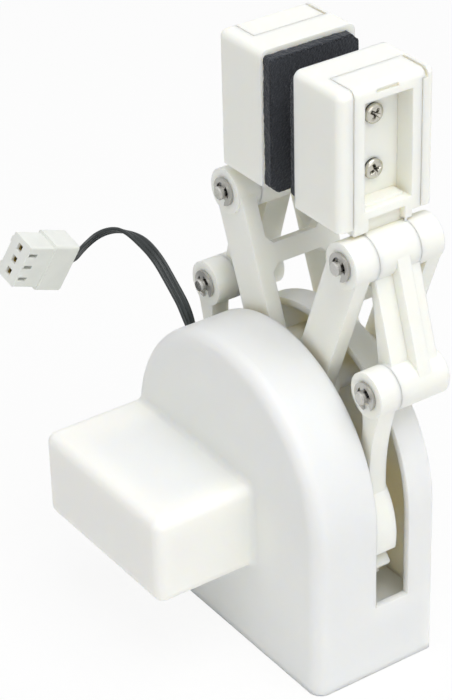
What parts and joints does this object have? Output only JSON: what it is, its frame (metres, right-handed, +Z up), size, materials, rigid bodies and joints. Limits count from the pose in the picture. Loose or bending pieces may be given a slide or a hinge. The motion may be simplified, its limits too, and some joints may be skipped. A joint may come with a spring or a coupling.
{
  "type": "robot claw gripper",
  "caption": "Robot claw gripper with a servo-driven geared pair of parallel links, hollow jaws with foam pads, an arched housing and a free lead with a plug.",
  "frame": {"origin": "middle of the underside of the housing's base", "axes": "+Z up from the base to the jaws; X is the way the jaws open and close, +X the side of the free gear link; -Y is the side of the servo box, +Y the side of the rear cover"},
  "size_m": [0.0759, 0.0535, 0.1085],
  "materials": {
    "white_plastic": "satin warm white moulded plastic",
    "black_foam": "fine closed-cell foam",
    "steel": "bright drawn steel",
    "nickel_screws": "nickel-plated steel",
    "servo_plastic": "moulded plastic",
    "brass_shaft": "plain brass",
    "lead_cover": "soft vinyl ribbon",
    "connector_plastic": "off-white moulded nylon"
  },
  "bodies": {
    "base": {"housing_shell": "white_plastic", "rear_cover": "white_plastic", "servo_case": "servo_plastic", "servo_screws": "nickel_screws", "gear_axle": "steel", "lead": "lead_cover", "connector": "connector_plastic", "connector_contacts": "brass_shaft", "left_rocker_pin": "steel", "right_rocker_pin": "steel", "left_rocker_clip": "steel", "right_rocker_clip": "steel"},
    "left_crank": {"left_gear_link": "white_plastic", "servo_shaft": "brass_shaft", "shaft_screw": "nickel_screws", "left_lower_pin": "steel", "left_lower_clips": "steel"},
    "right_crank": {"right_gear_link": "white_plastic", "right_lower_pin": "steel", "right_lower_clips": "steel"},
    "left_rocker": {"left_upper_link": "white_plastic", "left_upper_pin": "steel", "left_upper_clips": "steel"},
    "left_hand": {"left_coupler": "white_plastic", "left_jaw": "white_plastic", "left_jaw_screws": "nickel_screws", "left_foam_pad": "black_foam"},
    "right_rocker": {"right_upper_link": "white_plastic", "right_upper_pin": "steel", "right_upper_clips": "steel"},
    "right_hand": {"right_coupler": "white_plastic", "right_jaw": "white_plastic", "right_jaw_screws": "nickel_screws", "right_foam_pad": "black_foam"}
  },
  "joints": [
    {"name": "left_gear_turn", "type": "hinge", "parent": "base", "child": "left_crank", "pos_m": [-0.0128, 0.0101, 0.0274], "axis": [0, -1, 0], "range_deg": [-4.8, 40]},
    {"name": "right_gear_turn", "type": "hinge", "parent": "base", "child": "right_crank", "pos_m": [0.0128, 0.0101, 0.0274], "axis": [0, -1, 0], "range_deg": [-40, 4.8]},
    {"name": "left_rocker_swing", "type": "hinge", "parent": "base", "child": "left_rocker", "pos_m": [-0.00585, 0.0101, 0.04915], "axis": [0, -1, 0], "range_deg": [-4.8, 40]},
    {"name": "right_rocker_swing", "type": "hinge", "parent": "base", "child": "right_rocker", "pos_m": [0.00585, 0.0101, 0.04915], "axis": [0, -1, 0], "range_deg": [-40, 4.8]},
    {"name": "left_hand_swing", "type": "hinge", "parent": "left_crank", "child": "left_hand", "pos_m": [-0.02375, 0.0101, 0.0557], "axis": [0, -1, 0], "range_deg": [-40, 4.8]},
    {"name": "right_hand_swing", "type": "hinge", "parent": "right_crank", "child": "right_hand", "pos_m": [0.02375, 0.0101, 0.0557], "axis": [0, -1, 0], "range_deg": [-4.8, 40]}
  ],
  "couplings": [
    {"joint": "right_gear_turn", "follows": "left_gear_turn", "ratio": -1},
    {"joint": "left_rocker_swing", "follows": "left_gear_turn", "ratio": 1},
    {"joint": "right_rocker_swing", "follows": "left_gear_turn", "ratio": -1},
    {"joint": "left_hand_swing", "follows": "left_gear_turn", "ratio": -1},
    {"joint": "right_hand_swing", "follows": "left_gear_turn", "ratio": 1}
  ]
}
